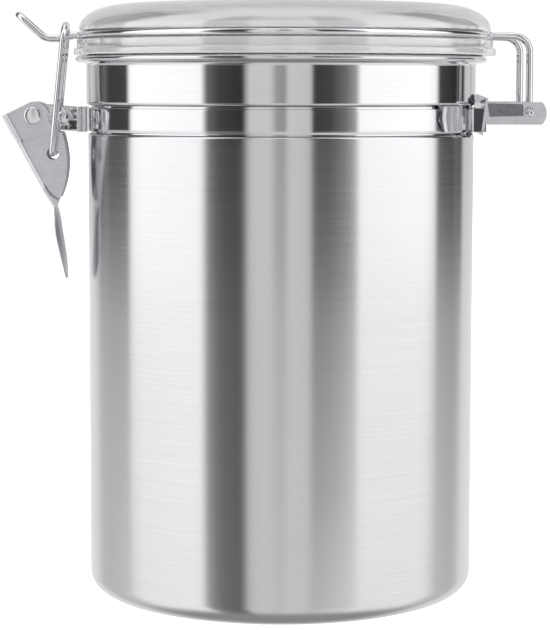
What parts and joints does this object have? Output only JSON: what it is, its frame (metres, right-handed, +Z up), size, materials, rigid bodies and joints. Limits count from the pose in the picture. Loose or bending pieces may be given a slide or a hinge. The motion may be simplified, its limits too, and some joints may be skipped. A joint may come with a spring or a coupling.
{
  "type": "food canister",
  "caption": "Round stainless steel food canister with a clear domed lid, a gasket, a wire hinge and an over-centre wire latch.",
  "frame": {"origin": "centre of the flat bottom, on the body's axis", "axes": "+Z up along the body's axis, +X towards the hinge, -X towards the latch, +Y away from the viewer"},
  "size_m": [0.1705, 0.133, 0.1866],
  "materials": {
    "brushed_stainless": "brushed around the body",
    "polished_stainless": "polished",
    "plated_sheet_steel": "satin, pressed sheet",
    "bright_wire": "bright drawn wire",
    "clear_acrylic": "clear, polished",
    "clear_silicone": "translucent, matt"
  },
  "bodies": {
    "base": {"canister_body": "brushed_stainless", "clamp_band": "polished_stainless", "hinge_bracket": "plated_sheet_steel", "band_clip_front": "plated_sheet_steel", "band_clip_rear": "plated_sheet_steel", "latch_bracket": "plated_sheet_steel", "lever_rivet": "plated_sheet_steel"},
    "lever": {"latch_lever": "plated_sheet_steel"},
    "loop": {"latch_loop": "bright_wire"},
    "lid": {"lid_wire_frame": "bright_wire", "lid": "clear_acrylic", "lid_gasket": "clear_silicone"}
  },
  "joints": [
    {"name": "lid_hinge", "type": "hinge", "parent": "base", "child": "lid", "pos_m": [0.0774, 0, 0.15245], "axis": [0, 1, 0], "range_deg": [0, 110]},
    {"name": "lever_pivot", "type": "hinge", "parent": "base", "child": "lever", "pos_m": [-0.07795, 0, 0.1515], "axis": [0, 1, 0], "range_deg": [0, 145]},
    {"name": "loop_pivot", "type": "hinge", "parent": "lever", "child": "loop", "pos_m": [-0.0719, 0, 0.1396], "axis": [0, 1, 0], "range_deg": [-124, 0]}
  ],
  "couplings": [
    {"joint": "loop_pivot", "follows": "lever_pivot", "ratio": -0.85}
  ]
}
